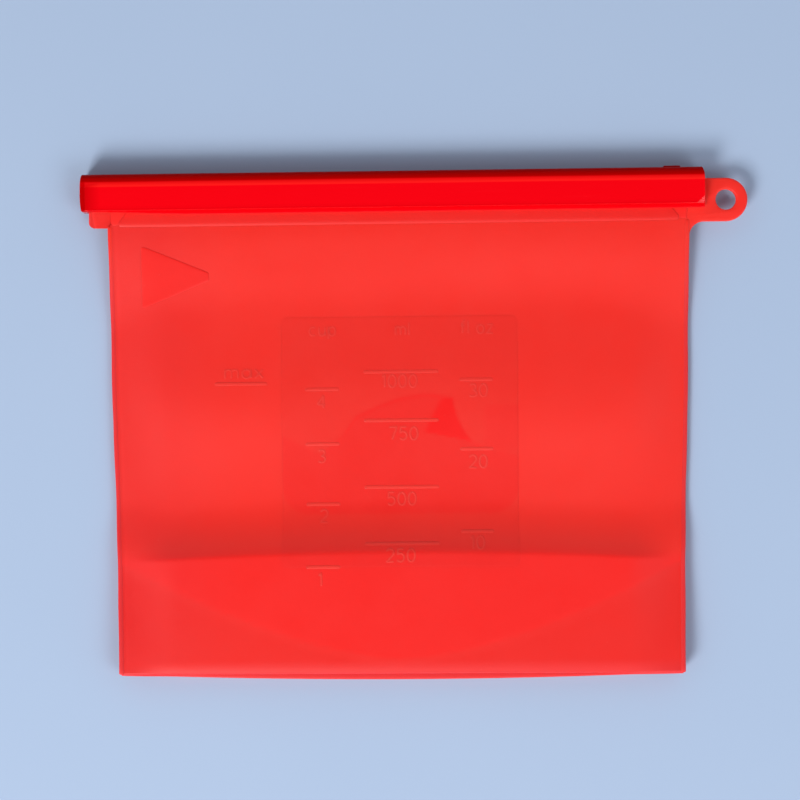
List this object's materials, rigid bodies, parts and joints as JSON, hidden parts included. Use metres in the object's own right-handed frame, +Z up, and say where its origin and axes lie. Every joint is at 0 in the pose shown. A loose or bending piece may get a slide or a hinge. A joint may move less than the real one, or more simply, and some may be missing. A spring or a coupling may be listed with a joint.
{
  "type": "reusable silicone food bag",
  "caption": "Flat translucent silicone food bag with a pleated bottom gusset, raised volume marks, hanging tab and a rigid slide-on closing bar.",
  "frame": {"origin": "middle of the lying bag's outline, on the table it lies on", "axes": "+X along the closing bar towards the hanging tab, +Y from the bottom hem to the closing bar, +Z up from the table"},
  "size_m": [0.2458, 0.1888, 0.011],
  "materials": {
    "silicone": "translucent satin red silicone",
    "bar_plastic": "glossy transparent red plastic"
  },
  "bodies": {
    "pouch": {"back_wall": "silicone", "front_wall": "silicone", "bottom_gusset": "silicone", "left_side_seam": "silicone", "right_side_seam": "silicone", "front_hem": "silicone", "back_hem": "silicone", "back_rim": "silicone", "front_rim": "silicone", "hanging_tab": "silicone", "volume_scale": "silicone", "max_fill_mark": "silicone", "closing_arrow": "silicone"},
    "bar": {"slide_bar": "bar_plastic"}
  },
  "joints": [
    {"name": "bar_slide", "type": "slide", "parent": "pouch", "child": "bar", "axis": [-1, 0, 0], "range_m": [0, 0.24]}
  ]
}
